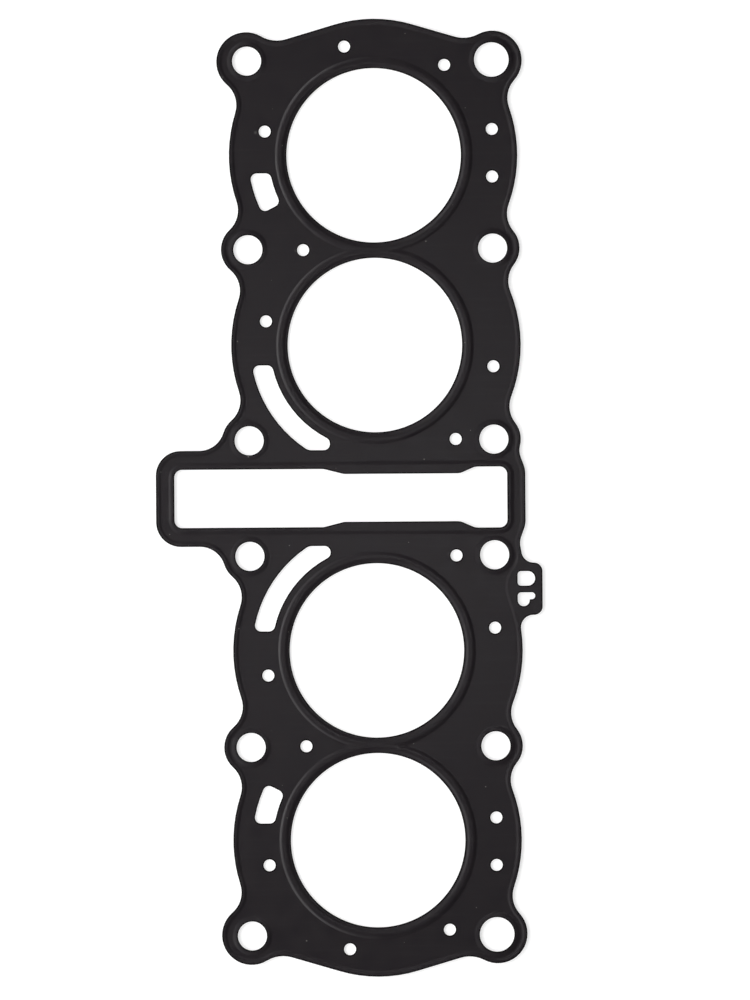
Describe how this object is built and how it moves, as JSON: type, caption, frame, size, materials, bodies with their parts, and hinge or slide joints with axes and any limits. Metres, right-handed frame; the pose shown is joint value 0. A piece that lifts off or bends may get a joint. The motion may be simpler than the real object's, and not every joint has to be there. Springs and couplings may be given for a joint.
{
  "type": "cylinder head gasket",
  "caption": "Embossed sheet steel cylinder head gasket for an in-line engine: round cylinder openings with raised beads, a chain passage between them, stud holes, coolant slots and a tab.",
  "frame": {"origin": "centre of the head stud pattern, on the block side of the rims round the stud holes", "axes": "+Z towards the cylinder head, +Y along the line of cylinders, +X towards the tab; the chain passage lies along X"},
  "size_m": [0.1405, 0.3486, 0.001],
  "materials": {
    "coated_steel": "thin black rubber coat on spring steel, dull satin with a faint grain"
  },
  "bodies": {
    "root": {"head_gasket": "coated_steel"}
  },
  "joints": []
}
